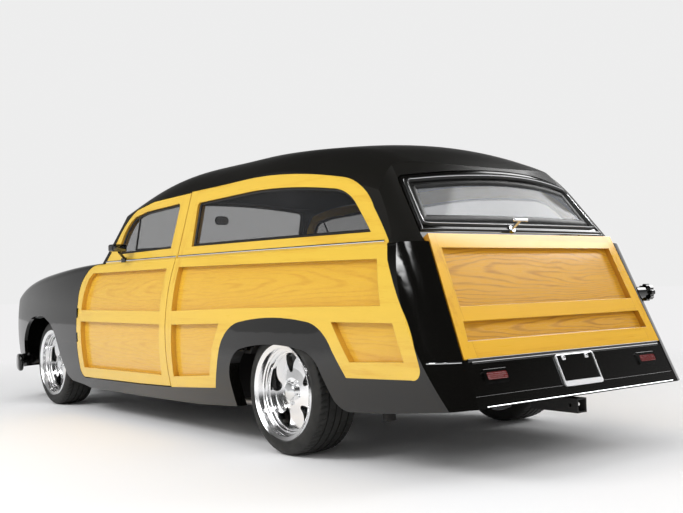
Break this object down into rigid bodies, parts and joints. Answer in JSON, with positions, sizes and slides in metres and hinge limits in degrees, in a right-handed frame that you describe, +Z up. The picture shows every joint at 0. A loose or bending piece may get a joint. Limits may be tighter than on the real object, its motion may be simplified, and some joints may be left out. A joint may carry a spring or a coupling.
{
  "type": "station wagon",
  "caption": "Low two-door station wagon with a black steel body, framed varnished wood sides and tailgate, a lifting rear window and polished wheels.",
  "frame": {"origin": "on the ground, under the middle of the car's length and width", "axes": "+X towards the front of the car, +Y to its left side, +Z up"},
  "size_m": [4.8688, 1.9, 1.5616],
  "materials": {
    "black paint": "gloss black lacquer",
    "ash wood": "varnished yellow ash with straight grain",
    "panel wood": "varnished panels with open grain, set back from the frame",
    "glass": "lightly tinted glass",
    "tyre rubber": "black tyre rubber",
    "polished rim": "polished",
    "chrome": "chrome plate",
    "chassis paint": "satin black",
    "bare steel": "satin",
    "cast iron": "painted casting",
    "seat leather": "brown leather",
    "floor lining": "black carpet on steel",
    "dash paint": "satin black",
    "wheel plastic": "black",
    "red lens": "red lens in a black bezel",
    "clear lens": "clear glass in a bright ring"
  },
  "bodies": {
    "root": {"chassis_frame": "chassis paint", "cowl": "black paint", "dashboard": "dash paint", "engine": "cast iron", "exhaust": "bare steel", "floor_pan": "floor lining", "front_bumper": "black paint", "front_fenders": "black paint", "front_seat": "seat leather", "front_suspension": "chassis paint", "fuel_cap": "black paint", "fuel_tank": "chassis paint", "grille": "chrome", "headlamps": "clear lens", "nose_panel": "black paint", "quarter_frames": "ash wood", "quarter_glass": "glass", "quarter_panels": "panel wood", "rear_axle": "chassis paint", "rear_pan": "black paint", "rear_seat": "seat leather", "roof": "black paint", "side_steel": "black paint", "steering_wheel": "wheel plastic", "tail_lamps": "red lens", "tow_hitch": "chassis paint", "windscreen": "glass"},
    "hood": {"hood": "black paint"},
    "tailgate": {"tailgate_frame": "ash wood", "tailgate_panels": "panel wood"},
    "liftgate": {"liftgate_frame": "black paint", "liftgate_glass": "glass", "liftgate_handle": "chrome"},
    "door_left": {"door_left_frame": "ash wood", "door_left_panels": "panel wood", "door_left_glass": "glass", "door_left_mirror": "black paint"},
    "knuckle_left": {"knuckle_left": "chassis paint"},
    "wheel_front_left": {"rim_front_left": "polished rim", "tyre_front_left": "tyre rubber"},
    "wheel_rear_left": {"rim_rear_left": "polished rim", "tyre_rear_left": "tyre rubber"},
    "door_right": {"door_right_frame": "ash wood", "door_right_panels": "panel wood", "door_right_glass": "glass", "door_right_mirror": "black paint"},
    "knuckle_right": {"knuckle_right": "chassis paint"},
    "wheel_front_right": {"rim_front_right": "polished rim", "tyre_front_right": "tyre rubber"},
    "wheel_rear_right": {"rim_rear_right": "polished rim", "tyre_rear_right": "tyre rubber"}
  },
  "joints": [
    {"name": "door_left_hinge", "type": "hinge", "parent": "root", "child": "door_left", "pos_m": [0.98725, 0.908, 0.56], "axis": [0, 0, -1], "range_deg": [0, 65]},
    {"name": "door_right_hinge", "type": "hinge", "parent": "root", "child": "door_right", "pos_m": [0.98725, -0.908, 0.56], "axis": [0, 0, 1], "range_deg": [0, 65]},
    {"name": "hood_hinge", "type": "hinge", "parent": "root", "child": "hood", "pos_m": [0.93625, 0, 1.045], "axis": [0, -1, 0], "range_deg": [0, 50]},
    {"name": "tailgate_hinge", "type": "hinge", "parent": "root", "child": "tailgate", "pos_m": [-2.3483, 0, 0.489], "axis": [0, -1, 0], "range_deg": [0, 115]},
    {"name": "liftgate_hinge", "type": "hinge", "parent": "root", "child": "liftgate", "pos_m": [-1.95075, 0, 1.345], "axis": [0, 1, 0], "range_deg": [0, 80]},
    {"name": "steer_left", "type": "hinge", "parent": "root", "child": "knuckle_left", "pos_m": [1.58525, 0.605, 0.3], "axis": [0, 0, 1], "range_deg": [-30, 30]},
    {"name": "roll_front_left", "type": "hinge", "parent": "knuckle_left", "child": "wheel_front_left", "pos_m": [1.58525, 0.75, 0.3], "axis": [0, 1, 0], "continuous": true},
    {"name": "roll_rear_left", "type": "hinge", "parent": "root", "child": "wheel_rear_left", "pos_m": [-1.31075, 0.75, 0.3], "axis": [0, 1, 0], "continuous": true},
    {"name": "steer_right", "type": "hinge", "parent": "root", "child": "knuckle_right", "pos_m": [1.58525, -0.605, 0.3], "axis": [0, 0, 1], "range_deg": [-30, 30]},
    {"name": "roll_front_right", "type": "hinge", "parent": "knuckle_right", "child": "wheel_front_right", "pos_m": [1.58525, -0.75, 0.3], "axis": [0, 1, 0], "continuous": true},
    {"name": "roll_rear_right", "type": "hinge", "parent": "root", "child": "wheel_rear_right", "pos_m": [-1.31075, -0.75, 0.3], "axis": [0, 1, 0], "continuous": true}
  ],
  "couplings": [
    {"joint": "steer_right", "follows": "steer_left", "ratio": 1}
  ]
}
